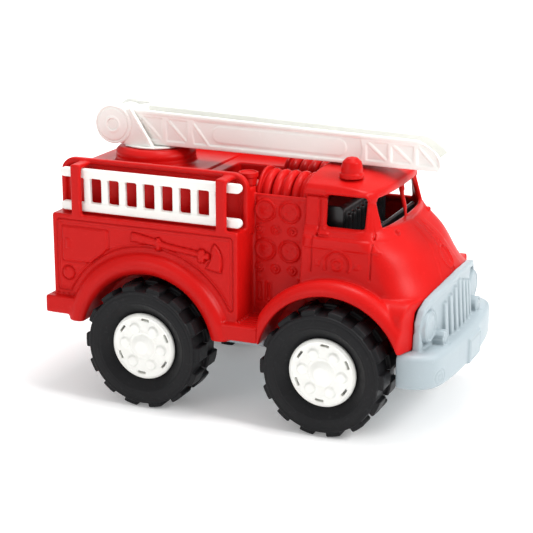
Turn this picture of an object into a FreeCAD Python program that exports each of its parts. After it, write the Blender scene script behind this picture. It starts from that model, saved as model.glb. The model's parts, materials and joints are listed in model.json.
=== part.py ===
# Toy fire engine: a moulded plastic truck with a turning, tilting ladder boom,
# two side ladders that slide out lengthwise, and four wheels on two axles.
# Millimetres. +X is the truck's front, +Y its left side, +Z up. The origin lies on
# the ground under the middle of the truck.
import FreeCAD, Part
import math
import os
import re

import Sketcher
from FreeCAD import Placement, Rotation, Vector

doc = FreeCAD.newDocument("fire_engine")

# ---------------------------------------------------------------- driving sizes
# Pieces of the truck are mirrored about Y = 0; a "face_y" is a distance from Y = 0.
SIZES = {
    # wheels
    "axle_x": 60, "axle_z": 39.8, "axle_radius": 3.5, "axle_length": 146, "running_gap": 0.06, "press_gap": 0.02,
    "tyre_radius": 39.8, "tyre_width": 31, "track_face_y": 79.5, "shoulder_round": 3, "tyre_wall": 4,
    "rim_radius": 21.5, "rim_seat_radius": 20.5, "bowl_radius": 29, "bowl_depth": 6,
    "rim_face_inset": 3.5, "dome_radius": 8, "dome_height": 3, "boss_radius": 7, "wall": 2.6,
    # chassis
    "chassis_low": 43.6, "chassis_top": 49.6, "chassis_half": 44, "chassis_rear": -108,
    "chassis_front": 103, "wing_half": 57, "wing_length": 29, "saddle_low": 33.5,
    "saddle_length": 20, "saddle_width": 9, "saddle_face_y": 43.5, "screw_radius": 1.5,
    "screw_head_radius": 3, "screw_head": 2, "screw_length": 12, "screw_y": 30,
    "rear_screw_x": -98, "mid_screw_x": -8, "front_screw_x": 97, "post_radius": 4.5,
    # rear body
    "bed_rear": -129.5, "bed_front": 0, "bed_low": 49.8, "ledge_z": 117, "panel_face_y": 65,
    "rail_face_y": 52, "rail_top": 151, "rail_corner": 10, "rail_depth": 3, "rail_height": 3.6,
    "deck_z": 141, "deck_half": 47.5, "deck_step_x": -44, "deck_step": 1.2,
    "hose_bed_rear": -36, "hose_bed_front": 0, "hose_bed_half": 20, "hose_bed_depth": 14,
    "strap_rear_x": -115.4, "strap_front_x": -14.9, "strap_width": 7.3, "strap_top": 149.4,
    "strap_plate": 2.8, "rear_arch_x": -61.2, "rear_arch_z": 36.8, "rear_arch_radius": 46.3,
    "well_half": 45.5, "flare_round": 7, "flare_mid_radius": 50.7, "flare_z": 40, "flare_low": 48,
    "step_rear": -133.5, "step_front": -112, "step_low": 51.5, "step_top": 63, "step_half": 70,
    "board_rear": -14, "board_front": 15, "board_low": 49.8, "board_top": 60,
    "pump_front": 36.6, "pump_face_y": 42, "pump_top": 137.5,
    "reel_bay_rear": 0.3,
    # turret ring on the deck
    "turret_x": -87.6, "ring_radius": 26.5, "ring_top": 152.4, "ring_chamfer": 3,
    "stem_radius": 9,
    # cab
    "cab_rear": 37, "cab_low": 49.8, "cab_half": 58, "belt_z": 117, "cowl_z": 122.4,
    "post_half": 49.5, "roof_edge_half": 46.5, "roof_rear_edge": 144.2, "roof_rear_crown": 152.9, "roof_sink": 0.8,
    "roof_front_edge": 142.5, "roof_front_crown": 146.8, "screen_base_x": 90.5,
    "screen_top_x": 78.7, "screen_corner_back": 15.2, "drip": 0.8, "drip_edge": 2.4, "shell": 2.8, "cab_floor": 94,
    "window_rear": 51, "window_front": 75, "window_low": 123, "window_high": 142,
    "pane_half": 38.5, "pane_low": 122.8, "pane_high": 140.8, "screen_post": 3,
    "front_arch_x": 61.4, "front_arch_z": 40.2, "front_arch_radius": 45.8,
    "fender_mid_radius": 50.5, "fender_round": 7.5, "fender_face_y": 72,
    "nose_radius": 207, "nose_x": 118,
    # grille and front bumper
    "grille_plate": 2.6, "grille_rim": 2.2, "grille_low": 53, "grille_side_y": 57.5,
    "grille_shoulder_z": 75, "grille_top_z": 91.5, "headlamp_y": 46.5, "headlamp_z": 68,
    "headlamp_radius": 10, "fog_y": 36, "fog_z": 58.5, "fog_radius": 5.2, "fog_front": 124.5,
    "bumper_front": 132.2, "bumper_rear": 103.2, "bumper_half": 68, "bumper_low": 33.5,
    "bumper_top": 55, "bar_half_width": 2.4, "bar_pitch": 8.6,
    "plate_half": 12.5, "plate_proud": 1.3,
    # roof light, filler cap, hose reels
    "beacon_x": 60.5, "beacon_y": -31, "beacon_z": 150.4, "beacon_radius": 6.6,
    "beacon_flange": 7.5, "beacon_top": 163.4, "cap_x": -5.4, "cap_y": -36, "cap_radius": 6.2,
    "cap_top": 149, "reel_rear": 2.7, "reel_front": 35.6, "reel_y": 20.4, "reel_z": 131.4,
    "reel_drum": 12.5, "coil_radius": 2.85, "coil_turn": 14.6, "reel_flange": 18.8,
    "flange_plate": 2.2,
    # seat and dashboard
    "seat_rear": 42, "seat_front": 63, "seat_half": 40, "seat_back_top": 134,
    "seat_back": 17, "seat_cushion_top": 108, "dash_rear": 71, "dash_front": 80,
    "dash_half": 35.5, "dash_top": 123.5,
    # turntable and boom
    "disc_radius": 19.5, "disc_top": 154.1, "pivot_x": -111, "pivot_z": 166.6,
    "ear_radius": 12.7, "ear_outer_y": 16, "ear_plate": 3, "pin_radius": 3.5,
    "eye_radius": 10.5, "boom_half": 12.2, "boom_tip_half": 10.6, "boom_rear": -99,
    "boom_front": 112, "boom_rear_low": 154.6, "boom_front_low": 153.6, "boom_rear_top": 176.8,
    "boom_front_top": 171.8, "boom_wall": 2.4, "boom_floor": 4.4, "tip_length": 17,
    "tip_low_back": 6, "tip_mid_z": 161.5, "rung_radius": 1.6, "rung_pitch": 17,
    # side ladders
    "ladder_rear": -125, "ladder_front": 0.4, "ladder_low": 118.8, "ladder_rail": 5.7,
    "ladder_high": 146.2, "ladder_inner_y": 56.8, "ladder_plate": 4.4, "rung_width": 4.7,
    "first_rung_x": -105.9, "rung_step": 12.45,
}
RUNGS = 8
BARS = 7
COILS = 5

sheet = doc.addObject("Spreadsheet::Sheet", "Dimensions")
for row, (alias, size) in enumerate(SIZES.items(), start=1):
    sheet.set(f"A{row}", alias)
    sheet.set(f"B{row}", str(size))
    sheet.setAlias(f"B{row}", alias)
doc.recompute()


# ---------------------------------------------------------------- helpers
def formula(text):
    """The same formula with each size's name pointing at the spreadsheet."""
    return re.sub(r"[a-z]\w*", lambda m: f"Dimensions.{m[0]}" if m[0] in SIZES else m[0], str(text))


def value(text):
    """What a formula comes to now."""
    return float(sheet.evalExpression(formula(text)))


def bind(solid, **formulas):
    """Bind properties to formulas; two underscores in a name stand for a dot."""
    for path, text in formulas.items():
        solid.setExpression(path.replace("__", "."), formula(text))
    return solid


def box(name, along_x, along_y, along_z):
    """A block between pairs of low and high formulas."""
    solid = doc.addObject("Part::Box", name)
    for size, corner, (low, high) in zip(
        ("Length", "Width", "Height"), "xyz", (along_x, along_y, along_z)
    ):
        bind(solid, **{size: f"({high}) - ({low})", f"Placement__Base__{corner}": low})
    return solid


TURNED = {
    "x": Rotation(Vector(0, 1, 0), 90),
    "y": Rotation(Vector(1, 0, 0), -90),
    "z": Rotation(),
}


def along(solid, axis, centre, low):
    """Stand a primitive along an axis: centre gives its two other places in X, Y, Z order."""
    solid.Placement = Placement(Vector(), TURNED[axis])
    places = dict(zip([c for c in "xyz" if c != axis], centre))
    places[axis] = low
    bind(solid, **{f"Placement__Base__{c}": places[c] for c in "xyz"})
    return solid


def rod(name, axis, centre, radius, low, high):
    solid = doc.addObject("Part::Cylinder", name)
    bind(solid, Radius=radius, Height=f"({high}) - ({low})")
    return along(solid, axis, centre, low)


def cone(name, axis, centre, radii, low, high):
    solid = doc.addObject("Part::Cone", name)
    bind(solid, Radius1=radii[0], Radius2=radii[1], Height=f"({high}) - ({low})")
    return along(solid, axis, centre, low)


def ring(name, axis, centre, radius, tube, place):
    solid = doc.addObject("Part::Torus", name)
    bind(solid, Radius1=radius, Radius2=tube)
    return along(solid, axis, centre, place)


def fuse(name, solids):
    joined = doc.addObject("Part::MultiFuse", name)
    joined.Shapes = solids
    joined.Refine = True
    return joined


def cut(name, base, tools):
    """Take the tools away one after another; the last cut carries the name."""
    for i, tool in enumerate(tools, start=1):
        taken = doc.addObject("Part::Cut", name if i == len(tools) else f"{name}_{i}")
        taken.Base = base
        taken.Tool = tool
        taken.Refine = i == len(tools)
        base = taken
    return base


def common(name, one, other):
    shared = doc.addObject("Part::Common", name)
    shared.Base = one
    shared.Tool = other
    return shared


def rounded(name, base, radius, wanted):
    """Round the edges that wanted(edge) picks."""
    doc.recompute()
    edges = [i for i, edge in enumerate(base.Shape.Edges, start=1) if wanted(edge)]
    soft = doc.addObject("Part::Fillet", name)
    soft.Base = base
    soft.Edges = [(i, value(radius), value(radius)) for i in edges]
    return soft


def parallel(edge, axis):
    """Whether an edge is straight and runs along an axis."""
    if edge.Curve.TypeId != "Part::GeomLine":
        return False
    return abs(abs(edge.tangentAt(edge.FirstParameter).dot(axis)) - 1) < 1e-6


def sketch_on(body, name, plane):
    sketch = body.newObject("Sketcher::SketchObject", name)
    face = next(f for f in body.Origin.OriginFeatures if f.Role == plane)
    sketch.AttachmentSupport = (face, [""])
    sketch.MapMode = "FlatFace"
    return sketch


def outline(sketch, corners):
    """A closed outline of straight sides; every corner is held by two formulas."""
    first = sketch.GeometryCount
    points = [Vector(value(u), value(v), 0) for u, v in corners]
    for point, following in zip(points, points[1:] + points[:1]):
        sketch.addGeometry(Part.LineSegment(point, following))
    for i, (u, v) in enumerate(corners):
        side = first + i
        before = first + (i - 1) % len(corners)
        sketch.addConstraint(Sketcher.Constraint("Coincident", before, 2, side, 1))
        for kind, text, axis in (("DistanceX", u, -2), ("DistanceY", v, -1)):
            if abs(value(text)) < 1e-9:
                sketch.addConstraint(Sketcher.Constraint("PointOnObject", side, 1, axis))
                continue
            held = Sketcher.Constraint(kind, -1, 1, side, 1, value(text))
            index = sketch.addConstraint(held)
            sketch.setExpression(f"Constraints[{index}]", formula(text))


def turned(name, corners):
    """A body of revolution about its own Z axis: corners are (radius, height) formulas."""
    body = doc.addObject("PartDesign::Body", name)
    sketch = sketch_on(body, name + "_profile", "XZ_Plane")
    outline(sketch, corners)
    spin = body.newObject("PartDesign::Revolution", name + "_spin")
    spin.Profile = sketch
    spin.ReferenceAxis = (sketch, ["V_Axis"])
    spin.Angle = 360
    return body


def padded(name, plane, draw, thickness):
    """A body padded evenly to both sides of one of its own origin planes."""
    body = doc.addObject("PartDesign::Body", name)
    sketch = sketch_on(body, name + "_profile", plane)
    draw(sketch)
    pad = body.newObject("PartDesign::Pad", name + "_pad")
    pad.Profile = sketch
    pad.Midplane = True
    bind(pad, Length=thickness)
    return body


def place(solid, x="0", y="0", z="0", rotation=Rotation()):
    solid.Placement = Placement(Vector(value(x), value(y), value(z)), rotation)
    return bind(solid, Placement__Base__x=x, Placement__Base__y=y, Placement__Base__z=z)


def sides():
    """Right then left, each with the function that mirrors a (low, high) pair."""
    yield "right", (lambda low, high: (f"-({high})", f"-({low})"))
    yield "left", (lambda low, high: (low, high))


NODES = {}


def node(name, solid):
    """Keep a finished sub-part under the name of its file."""
    solid.Label = name
    NODES[name] = solid
    return solid


# ---------------------------------------------------------------- wheels and axles
def tyre(name, axle, side):
    """A fat tyre: flat outer wall, dished towards the rim, hollow and open on its inner side."""
    body = turned(name, [
        ("rim_seat_radius", "0"), ("rim_seat_radius + tyre_wall", "0"),
        ("rim_seat_radius + tyre_wall", "tyre_width - bowl_depth - tyre_wall"),
        ("bowl_radius", "tyre_width - tyre_wall"), ("tyre_radius - tyre_wall", "tyre_width - tyre_wall"),
        ("tyre_radius - tyre_wall", "0"), ("tyre_radius - 1", "0"),
        ("tyre_radius", "shoulder_round"), ("tyre_radius", "tyre_width - shoulder_round"),
        ("tyre_radius - shoulder_round / 2", "tyre_width"), ("bowl_radius", "tyre_width"),
        ("rim_radius + 0.6", "tyre_width - bowl_depth"), ("rim_seat_radius", "tyre_width - bowl_depth"),
    ])
    place(body, x=f"{axle} * axle_x", y=f"{side} * (track_face_y - tyre_width)", z="axle_z",
          rotation=Rotation(Vector(1, 0, 0), -90 * side))
    node(name, body)


def rim(name, axle, side):
    """A rim: a drum pressed in the tyre, with a front disc, a domed centre and an axle boss."""
    face = "(tyre_width - rim_face_inset)"
    hole = "axle_radius + press_gap"
    seat = "rim_seat_radius - press_gap"
    body = turned(name, [
        (hole, "4"), ("boss_radius", "4"), ("boss_radius", f"{face} - 2 * wall"),
        ("rim_seat_radius - wall", f"{face} - 2 * wall"), ("rim_seat_radius - wall", "1"),
        (seat, "1"), (seat, "tyre_width - bowl_depth + press_gap"),
        ("rim_radius", "tyre_width - bowl_depth + press_gap"), ("rim_radius", f"{face} - 0.8"),
        ("rim_radius - 0.8", face), ("dome_radius", face),
        ("dome_radius * 0.55", f"{face} + dome_height"), ("0", f"{face} + dome_height"),
        ("0", f"{face} - wall / 2"), (hole, f"{face} - wall / 2"),
    ])
    place(body, x=f"{axle} * axle_x", y=f"{side} * (track_face_y - tyre_width)", z="axle_z",
          rotation=Rotation(Vector(1, 0, 0), -90 * side))
    node(name, body)


for end, axle in (("front", 1), ("rear", -1)):
    for side_name, side in (("right", -1), ("left", 1)):
        tyre(f"{end}_{side_name}_tyre", axle, side)
        rim(f"{end}_{side_name}_rim", axle, side)
    node(f"{end}_axle", rod(
        f"{end}_axle_rod", "y", (f"{axle} * axle_x", "axle_z"), "axle_radius",
        "-axle_length / 2", "axle_length / 2"))


# ---------------------------------------------------------------- chassis
def screw_places():
    """The six screws: two behind the rear axle, two amidships, two at the nose."""
    for x in ("rear_screw_x", "mid_screw_x", "front_screw_x"):
        for y in ("-screw_y", "screw_y"):
            yield x, y


def chassis():
    solids = [
        box("spine", ("chassis_rear", "chassis_front"), ("-chassis_half", "chassis_half"),
            ("chassis_low", "chassis_top")),
        box("middle_wing", ("-wing_length / 2", "wing_length / 2"), ("-wing_half", "wing_half"),
            ("chassis_low", "chassis_top")),
        box("rear_wing", ("chassis_rear", "chassis_rear + 5"), ("-wing_half", "wing_half"),
            ("chassis_low + 1", "flare_low - 0.2")),
    ]
    bores = []
    for end, axle in (("front", 1), ("rear", -1)):
        for side in (-1, 1):
            inner, outer = "saddle_face_y - saddle_width", "saddle_face_y"
            span = (inner, outer) if side > 0 else (f"-({outer})", f"-({inner})")
            solids.append(box(
                f"{end}_saddle_{side % 3}", (f"{axle} * axle_x - saddle_length / 2",
                                             f"{axle} * axle_x + saddle_length / 2"),
                span, ("saddle_low", "chassis_low")))
        bores.append(rod(
            f"{end}_axle_bore", "y", (f"{axle} * axle_x", "axle_z"), "axle_radius + running_gap",
            "-saddle_face_y - 1", "saddle_face_y + 1"))
    for i, (x, y) in enumerate(screw_places()):
        bores.append(rod(f"screw_hole_{i}", "z", (x, y), "screw_radius + 0.2",
                         "chassis_low - 1", "chassis_top + 1"))
        bores.append(rod(f"screw_sink_{i}", "z", (x, y), "screw_head_radius + 0.2",
                         "chassis_low - 1", "chassis_low + screw_head + 0.1"))
    whole = fuse("chassis_solids", solids)
    soft = rounded("chassis_soft", whole, "1.2", lambda e: parallel(e, Vector(0, 0, 1)))
    node("chassis", cut("chassis_cut", soft, bores))


def screws():
    """Six self-tapping screws from below, heads sunk in the chassis."""
    solids = []
    for i, (x, y) in enumerate(screw_places()):
        head = rod(f"screw_head_{i}", "z", (x, y), "screw_head_radius",
                   "chassis_low + 0.1", "chassis_low + 0.1 + screw_head")
        shank = rod(f"screw_shank_{i}", "z", (x, y), "screw_radius",
                    "chassis_low + screw_head", "chassis_low + screw_length")
        slot = box(f"screw_slot_{i}", (f"{x} - 0.4", f"{x} + 0.4"),
                   (f"{y} - screw_head_radius", f"{y} + screw_head_radius"),
                   ("chassis_low", "chassis_low + 0.9"))
        solids.append(cut(f"screw_{i}", fuse(f"screw_blank_{i}", [head, shank]), [slot]))
    group = doc.addObject("Part::Compound", "screw_group")
    group.Links = solids
    node("chassis_screws", group)


chassis()
screws()


# ---------------------------------------------------------------- rear body
def rail_outline(name, side):
    """One side wall above the ledge: rounded top corners, a sunk panel inside a proud rail."""
    span = side("rail_face_y - 5", "rail_face_y")
    wall = box(name, ("bed_rear", "bed_front + 1"), span, ("ledge_z - 2", "rail_top"))
    top = value("rail_top")
    soft = rounded(name + "_soft", wall, "rail_corner",
                   lambda e: parallel(e, Vector(0, 1, 0)) and abs(e.CenterOfMass.z - top) < 1e-6)
    sunk = box(name + "_sunk", ("bed_rear + rail_height", "bed_front + 1 - rail_height"),
               side("rail_face_y - rail_depth", "rail_face_y + 1"),
               ("ledge_z", "rail_top - rail_height"))
    sunk_top = value("rail_top - rail_height")
    sunk_soft = rounded(
        name + "_sunk_soft", sunk, "rail_corner - rail_height",
        lambda e: parallel(e, Vector(0, 1, 0)) and abs(e.CenterOfMass.z - sunk_top) < 1e-6)
    return cut(name + "_wall", soft, [sunk_soft])


def strap(name, side, x):
    """A closed loop that holds the side ladder against the wall: a post and a top plate."""
    post = box(name + "_post", (x, f"{x} + strap_width"),
               side("panel_face_y - strap_plate", "panel_face_y"), ("ledge_z - 1", "strap_top"))
    plate = box(name + "_plate", (x, f"{x} + strap_width"),
                side("rail_face_y - 1", "panel_face_y"), ("strap_top - strap_plate", "strap_top"))
    return [post, plate]


def outward(side, face):
    """A distance from the middle as a place on one side."""
    return side(face, face)[0]


def wheel_well(name, side, x, z, radius, inner="well_half"):
    low, high = side(inner, "track_face_y + 2")
    return rod(name, "y", (x, z), radius, low, high)


def rear_body():
    solids = [
        box("bed_lower", ("bed_rear", "bed_front"), ("-panel_face_y", "panel_face_y"),
            ("bed_low", "ledge_z")),
        box("bed_upper", ("bed_rear", "bed_front + 1"), ("-deck_half", "deck_half"),
            ("ledge_z - 5", "deck_z")),
        box("bed_deck_rear", ("bed_rear", "deck_step_x"), ("-deck_half", "deck_half"),
            ("deck_z - 1", "deck_z + deck_step")),
        box("pump_block", ("bed_front - 2", "pump_front"), ("-pump_face_y", "pump_face_y"),
            ("board_low", "pump_top")),
        box("rear_step", ("step_rear", "step_front"), ("-step_half", "step_half"),
            ("step_low", "step_top")),
        rod("turret_ring_low", "z", ("turret_x", "0"), "ring_radius", "deck_z",
            "ring_top - ring_chamfer"),
        cone("turret_ring_top", "z", ("turret_x", "0"), ("ring_radius", "ring_radius - ring_chamfer"),
             "ring_top - ring_chamfer", "ring_top"),
    ]
    wells = []
    hollows = []
    guards = []
    for side_name, side in sides():
        solids.append(rail_outline(f"{side_name}_rail", side))
        solids += strap(f"{side_name}_rear_strap", side, "strap_rear_x")
        solids += strap(f"{side_name}_front_strap", side, "strap_front_x")
        lip = ring(f"{side_name}_rear_lip", "y", ("rear_arch_x", "flare_z"), "flare_mid_radius",
                   "flare_round", outward(side, "panel_face_y - 0.5"))
        below = box(f"{side_name}_lip_end", ("-130", "5"), side("well_half", "track_face_y"),
                    ("-30", "flare_low"))
        solids.append(cut(f"{side_name}_rear_flare", lip, [below]))
        solids.append(box(f"{side_name}_board", ("board_rear", "board_front"),
                          side("pump_face_y - 2", "step_half"), ("board_low", "board_top")))
        wells.append(wheel_well(f"{side_name}_rear_well", side, "rear_arch_x", "rear_arch_z",
                                "rear_arch_radius"))
        guards.append(wheel_well(f"{side_name}_rear_guard", side, "rear_arch_x", "rear_arch_z",
                                 "rear_arch_radius + wall", "well_half - wall"))
    room = [
        box("bed_room", ("bed_rear + wall", "bed_front - wall"),
            ("-panel_face_y + wall", "panel_face_y - wall"), ("bed_low - 1", "ledge_z - wall")),
        box("deck_room", ("bed_rear + wall", "bed_front - wall"),
            ("-deck_half + wall", "deck_half - wall"), ("ledge_z - 6", "deck_z - wall")),
        box("pump_room", ("bed_front - wall - 1", "pump_front - wall"),
            ("-pump_face_y + wall", "pump_face_y - wall"), ("board_low - 1", "reel_z - reel_flange - wall")),
    ]
    tray = box("hose_bed_tray", ("hose_bed_rear - wall", "hose_bed_front + 1"),
               ("-hose_bed_half - wall", "hose_bed_half + wall"),
               ("deck_z - hose_bed_depth - wall", "deck_z"))
    posts = []
    for i, (x, y) in enumerate(screw_places()):
        if "front" in x:
            continue
        posts.append(rod(f"bed_post_{i}", "z", (x, y), "post_radius", "chassis_top + 0.05",
                         "deck_z - 1"))
    hub_tube = rod("turret_tube", "z", ("turret_x", "0"), "stem_radius + 3", "deck_z - 12",
                   "deck_z")
    hollow = cut("bed_hollow", fuse("bed_rooms", room), guards + [tray, hub_tube] + posts)
    hollows.append(hollow)
    hollows.append(box("reel_bay", ("reel_bay_rear", "pump_front + 1"),
                       ("-pump_face_y + wall", "pump_face_y - wall"),
                       ("reel_z - reel_flange", "rail_top + 5")))
    hollows.append(box("hose_bed", ("hose_bed_rear", "reel_bay_rear - 1.4"),
                       ("-hose_bed_half", "hose_bed_half"),
                       ("deck_z - hose_bed_depth", "deck_z + 4")))
    hollows.append(rod("turret_bore", "z", ("turret_x", "0"), "stem_radius + running_gap",
                       "deck_z - 14", "ring_top + 1"))
    for i, (x, y) in enumerate(screw_places()):
        if "front" not in x:
            hollows.append(rod(f"bed_pilot_{i}", "z", (x, y), "screw_radius", "chassis_top - 1",
                               "chassis_low + screw_length + 1"))
    node("rear_body", cut("rear_body_cut", fuse("rear_body_solids", solids), wells + hollows))


rear_body()


# ---------------------------------------------------------------- cab
# The lower cab and hood, level by level: height, half width, where the straight side
# ends, how far forward the nose reaches, and how full its front corners are.
HOOD_LEVELS = (
    ("cab_low", "cab_half - 1", "101", "nose_x + 3", "0.66"),
    ("82", "cab_half - 0.5", "100", "nose_x + 3", "0.66"),
    ("92", "cab_half - 2", "88", "nose_x - 2", "0.55"),
    ("102", "cab_half - 3.5", "83", "110", "0.55"),
    ("110.5", "cab_half - 4", "77", "104", "0.55"),
    ("belt_z", "cab_half - 5.5", "72", "97", "0.55"),
    ("cowl_z", "post_half + 0.3", "70", "screen_base_x + 1", "0.58"),
)
# The window band, level by level, in the same order.
WINDOW_LEVELS = (
    ("belt_z - 7", "post_half + 0.5", "screen_base_x - screen_corner_back", "screen_base_x", "0.74"),
    ("roof_rear_edge + 12", "roof_edge_half - 1.5", "screen_top_x - screen_corner_back",
     "screen_top_x", "0.74"),
)
# The roof, station by station: place, edge height and crown height.
ROOF_STATIONS = (
    ("cab_rear - 2", "roof_rear_edge", "roof_rear_crown"),
    ("58", "roof_rear_edge - 0.1", "roof_rear_crown - 0.9"),
    ("74", "roof_front_edge + 0.4", "roof_front_crown + 2.6"),
    ("86", "roof_front_edge - 3", "roof_front_crown - 2.8"),
)


def loft_feature(name, wires):
    solid = doc.addObject("Part::Feature", name)
    solid.Shape = Part.makeLoft(wires, True, False)
    return solid


def plan_wire(level, inset):
    """A level outline of the cab: flat back, straight sides and a bowed, round-cornered front."""
    z, half, side_end, front, fullness = (value(text) for text in level)
    back = value("cab_rear") + inset
    half -= inset
    side_end -= inset
    front -= inset
    bend = side_end + (fullness + 0.08) * (front - side_end)
    edges = []
    for sign in (-1, 1):
        quarter = [Vector(side_end, sign * half, z), Vector(bend, sign * half, z),
                   Vector(front, sign * fullness * half, z), Vector(front, 0, z)]
        bow = Part.BezierCurve()
        bow.setPoles(quarter if sign < 0 else quarter[::-1])
        edges.append(bow.toShape())
    corners = [Vector(side_end, half, z), Vector(back, half, z), Vector(back, -half, z),
               Vector(side_end, -half, z)]
    edges += [Part.LineSegment(a, b).toShape() for a, b in zip(corners, corners[1:])]
    return Part.Wire(edges)


def roof_wire(station, inset, overhang, floor):
    """One station of the roof: a flat floor, short upright sides and a crowned top."""
    x, edge, crown = (value(text) for text in station)
    half = value("roof_edge_half") + overhang - inset
    edge -= inset
    crown -= inset
    low = floor if floor else edge - value("drip_edge")
    points = []
    for share in (-1, -0.97, -0.9, -0.75, -0.45, 0, 0.45, 0.75, 0.9, 0.97, 1):
        rise = (1 - abs(share) ** 2.6) ** 0.5
        points.append(Vector(x, share * half, edge + (crown - edge) * rise))
    top = Part.BSplineCurve()
    top.interpolate(points)
    corners = [points[-1], Vector(x, half, low), Vector(x, -half, low), points[0]]
    edges = [top.toShape()]
    edges += [Part.LineSegment(a, b).toShape() for a, b in zip(corners, corners[1:])]
    return Part.Wire(edges)


def cab_solids(name, inset):
    """The lower cab with its hood, the window band and the roof, all shrunk by inset."""
    levels = [list(level) for level in HOOD_LEVELS]
    levels[-1][0] = f"cowl_z - {inset}"
    if inset:
        levels[0][0] = "cab_low - 1"
    lower = loft_feature(name + "_lower", [plan_wire(level, inset) for level in levels])
    band = loft_feature(name + "_band", [plan_wire(level, inset) for level in WINDOW_LEVELS])
    tall = loft_feature(name + "_under_roof", [
        roof_wire(station, inset or value("roof_sink"), 6, value("belt_z") - 20)
        for station in ROOF_STATIONS])
    solids = [lower, common(name + "_greenhouse", band, tall)]
    if not inset:
        cap = loft_feature(name + "_roof", [
            roof_wire(station, inset, value("drip"), None) for station in ROOF_STATIONS])
        wide = loft_feature(name + "_roof_plan", [
            plan_wire(level, -value("drip") * 1.4) for level in WINDOW_LEVELS])
        solids.append(common(name + "_roof_cap", cap, wide))
    return solids


def fender(name, side):
    """A swollen front fender: a thick arch with a rounded lip, carried on to the grille."""
    drum = rod(name + "_drum", "y", ("front_arch_x", "front_arch_z"),
               "fender_mid_radius + 2.2", *side("well_half", "fender_face_y - fender_round + 1.5"))
    lip = ring(name + "_lip", "y", ("front_arch_x", "front_arch_z"), "fender_mid_radius - 3.5",
               "fender_round", outward(side, "fender_face_y - fender_round"))
    front = box(name + "_front", ("front_arch_x + 20", "nose_x - 4"),
                side("well_half", "fender_face_y - 3"), ("cab_low", "grille_shoulder_z + 10"))
    doc.recompute()
    top = value("grille_shoulder_z + 10")
    soft = rounded(name + "_front_soft", front, "12", lambda e: abs(e.CenterOfMass.y) > 60
                   and (parallel(e, Vector(0, 0, 1)) and e.CenterOfMass.x > 100
                        or parallel(e, Vector(1, 0, 0)) and e.CenterOfMass.z > top - 1))
    room = box(name + "_room", ("board_front", "125"), side("well_half", "fender_face_y + 4"),
               ("cab_low", "belt_z"))
    return common(name, fuse(name + "_solids", [drum, lip, soft]), room)


def cab_shell():
    solids = cab_solids("cab_outer", 0)
    room = cab_solids("cab_inner", value("shell"))
    wells = []
    guards = [box("cab_floor_plate", ("cab_rear", "screen_base_x - 2"), ("-cab_half", "cab_half"),
                  ("cab_floor - shell", "cab_floor"))]
    holes = []
    for name, side in sides():
        solids.append(fender(f"{name}_fender", side))
        arch = (f"{name}_front_well", side, "front_arch_x", "front_arch_z")
        wells.append(wheel_well(*arch, "front_arch_radius"))
        guards.append(wheel_well(f"{name}_front_guard", side, "front_arch_x", "front_arch_z",
                                 "front_arch_radius + shell", "well_half - shell"))
        holes.append(box(f"{name}_window", ("window_rear", "window_front"),
                         side("post_half - 12", "cab_half"), ("window_low", "window_high")))
        holes.append(box(f"{name}_pane", ("window_front + 3.2", "screen_base_x + 8"),
                         side("screen_post / 2", "pane_half"), ("pane_low", "pane_high")))
    for i, (x, y) in enumerate(screw_places()):
        if "front" in x:
            guards.append(rod(f"cab_post_{i}", "z", (x, y), "post_radius",
                              "chassis_top + 0.05", "cowl_z"))
            holes.append(rod(f"cab_pilot_{i}", "z", (x, y), "screw_radius", "chassis_top - 1",
                             "chassis_low + screw_length + 1"))
    holes.append(box("bumper_room", ("bumper_rear - 0.3", "bumper_front"),
                     ("-track_face_y", "track_face_y"), ("0", "bumper_top + 0.1")))
    holes.append(rod("beacon_seat", "z", ("beacon_x", "beacon_y"), "beacon_flange + press_gap",
                     "beacon_z", "beacon_top"))
    bow = rod("nose_bow", "z", ("nose_x - nose_radius", "0"), "nose_radius", "0", "beacon_top")
    body = common("cab_bowed", fuse("cab_solids", solids), bow)
    hollow = cut("cab_hollow", fuse("cab_rooms", room), guards)
    whole = cut("cab_whole", body, [hollow] + wells + holes)
    for name, low, high in (("cab_shell", "0", "belt_z"), ("cab_roof", "belt_z", "beacon_top")):
        part = box(name + "_room", ("0", "bumper_front"), ("-track_face_y", "track_face_y"),
                   (low, high))
        node(name, common(name + "_part", whole, part))


def seat():
    """A bench with upright flutes in its back."""
    back = box("seat_back_block", ("seat_rear", "seat_rear + seat_back"),
               ("-seat_half", "seat_half"), ("cab_floor", "seat_back_top"))
    cushion = box("seat_cushion", ("seat_rear", "seat_front"), ("-seat_half", "seat_half"),
                  ("cab_floor", "seat_cushion_top"))
    flutes = [rod(f"seat_flute_{i}", "z", ("seat_rear + seat_back", f"{i} * 8"), "2.4",
                  "seat_cushion_top - 1", "seat_back_top - 6") for i in range(-4, 5)]
    front, top = value("seat_front"), value("seat_cushion_top")
    whole = fuse("seat_blocks", [back, cushion])
    soft = rounded("seat_soft", whole, "3", lambda e: parallel(e, Vector(0, 1, 0))
                   and e.CenterOfMass.z > top - 1 and (e.CenterOfMass.x > front - 1
                                                       or e.CenterOfMass.z > top + 5))
    node("cab_seat", fuse("seat_whole", [soft] + flutes))


def dashboard():
    """A dashboard block with ridges across its sloping top."""
    def draw(sketch):
        outline(sketch, [("dash_rear", "cab_floor"), ("dash_front - 3", "cab_floor"),
                         ("dash_front", "dash_top - 4"), ("dash_front - 1", "dash_top"),
                         ("dash_rear + 3", "dash_top - 6"), ("dash_rear", "dash_top - 9")])
    block = padded("dash_block", "XZ_Plane", draw, "2 * dash_half")
    ridges = [rod(f"dash_ridge_{i}", "y", (f"dash_rear + 4.5 + {i} * 2.2",
                                           f"dash_top - 5.2 + {i} * 1.62"), "0.8",
                  "-dash_half + 1", "dash_half - 1") for i in range(3)]
    node("dashboard", fuse("dash_whole", [block] + ridges))


cab_shell()
seat()
dashboard()


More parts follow.
